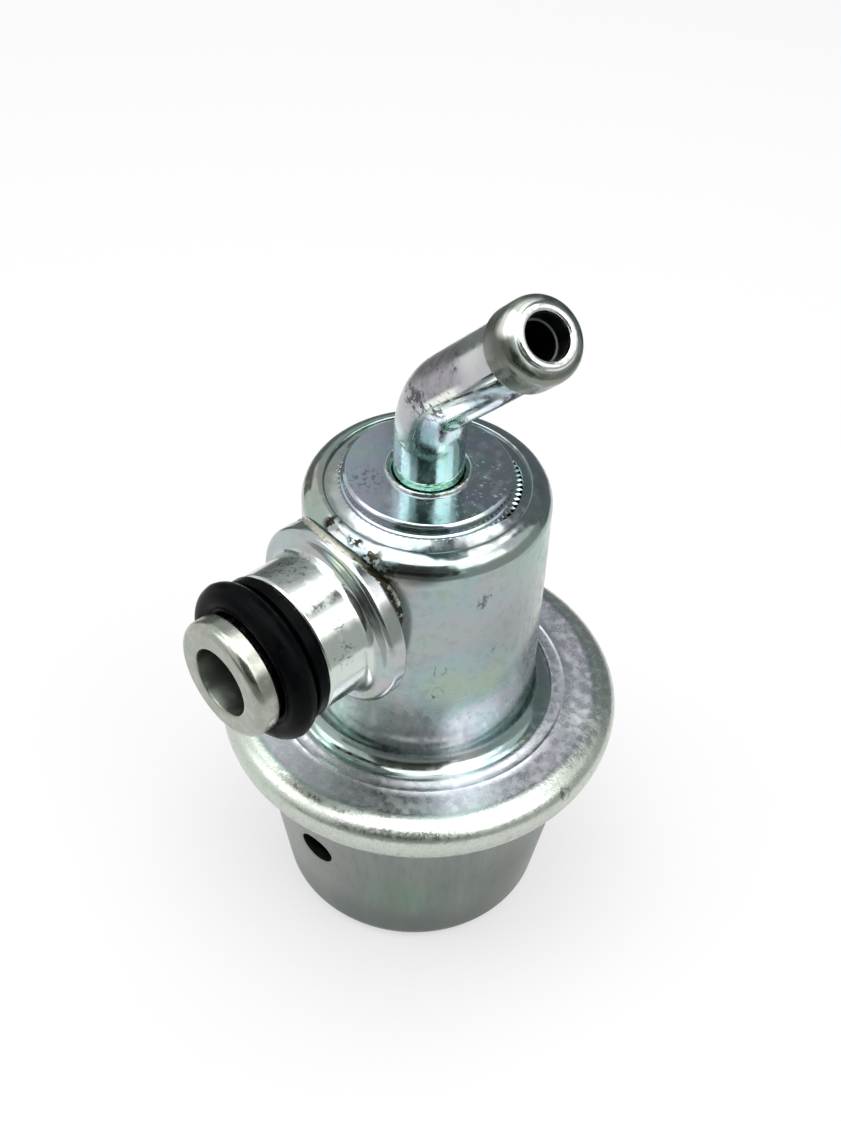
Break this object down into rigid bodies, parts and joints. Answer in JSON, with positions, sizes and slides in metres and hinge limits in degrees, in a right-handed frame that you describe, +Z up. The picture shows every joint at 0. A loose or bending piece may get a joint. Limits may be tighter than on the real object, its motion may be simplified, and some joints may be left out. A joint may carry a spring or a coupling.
{
  "type": "fuel pressure regulator",
  "caption": "Diaphragm fuel pressure regulator: stepped steel body with crimped rim, O-ring sealed side inlet, bent return tube and vented spring chamber",
  "frame": {"origin": "centre of the flat base of the spring chamber", "axes": "+Z up along the body's axis, the side inlet points along -Y, the return tube leans towards +X"},
  "size_m": [0.0392, 0.0436, 0.0778],
  "materials": {
    "bright_zinc_plate": "bright zinc plate, faintly iridescent",
    "satin_zinc_plate": "satin zinc plate",
    "plated_braze": "plated filler metal",
    "hardened_steel": "ground",
    "pressed_steel": "satin",
    "spring_steel": "dark, smooth",
    "black_rubber": "satin",
    "diaphragm_rubber": "matt"
  },
  "bodies": {
    "housing": {"fuel_chamber_shell": "bright_zinc_plate", "spring_chamber_shell": "satin_zinc_plate", "outlet_plug": "bright_zinc_plate", "return_tube": "bright_zinc_plate", "tube_braze_ring": "plated_braze", "inlet_fitting": "bright_zinc_plate", "inlet_o_ring": "black_rubber", "inlet_backup_ring": "black_rubber", "inlet_braze_ring": "plated_braze", "valve_seat": "hardened_steel", "diaphragm": "diaphragm_rubber", "pressure_spring": "spring_steel", "lower_spring_seat": "pressed_steel"},
    "valve_carrier": {"diaphragm_upper_plate": "pressed_steel", "diaphragm_lower_plate": "pressed_steel", "valve_holder": "hardened_steel", "valve_ball_retainer": "pressed_steel", "valve_ball_spring": "spring_steel"},
    "valve": {"valve_ball": "hardened_steel", "valve_plate": "hardened_steel"}
  },
  "joints": [
    {"name": "valve_lift", "type": "slide", "parent": "housing", "child": "valve_carrier", "axis": [0, 0, -1], "range_m": [0, 0.001], "stiffness_N_per_m": 200, "springref_m": -0.002, "deforming": ["pressure_spring", "diaphragm"]},
    {"name": "valve_swivel", "type": "hinge", "parent": "valve_carrier", "child": "valve", "pos_m": [0, 0, 0.02805], "axis": [0, 1, 0], "range_deg": [-2, 2]}
  ]
}
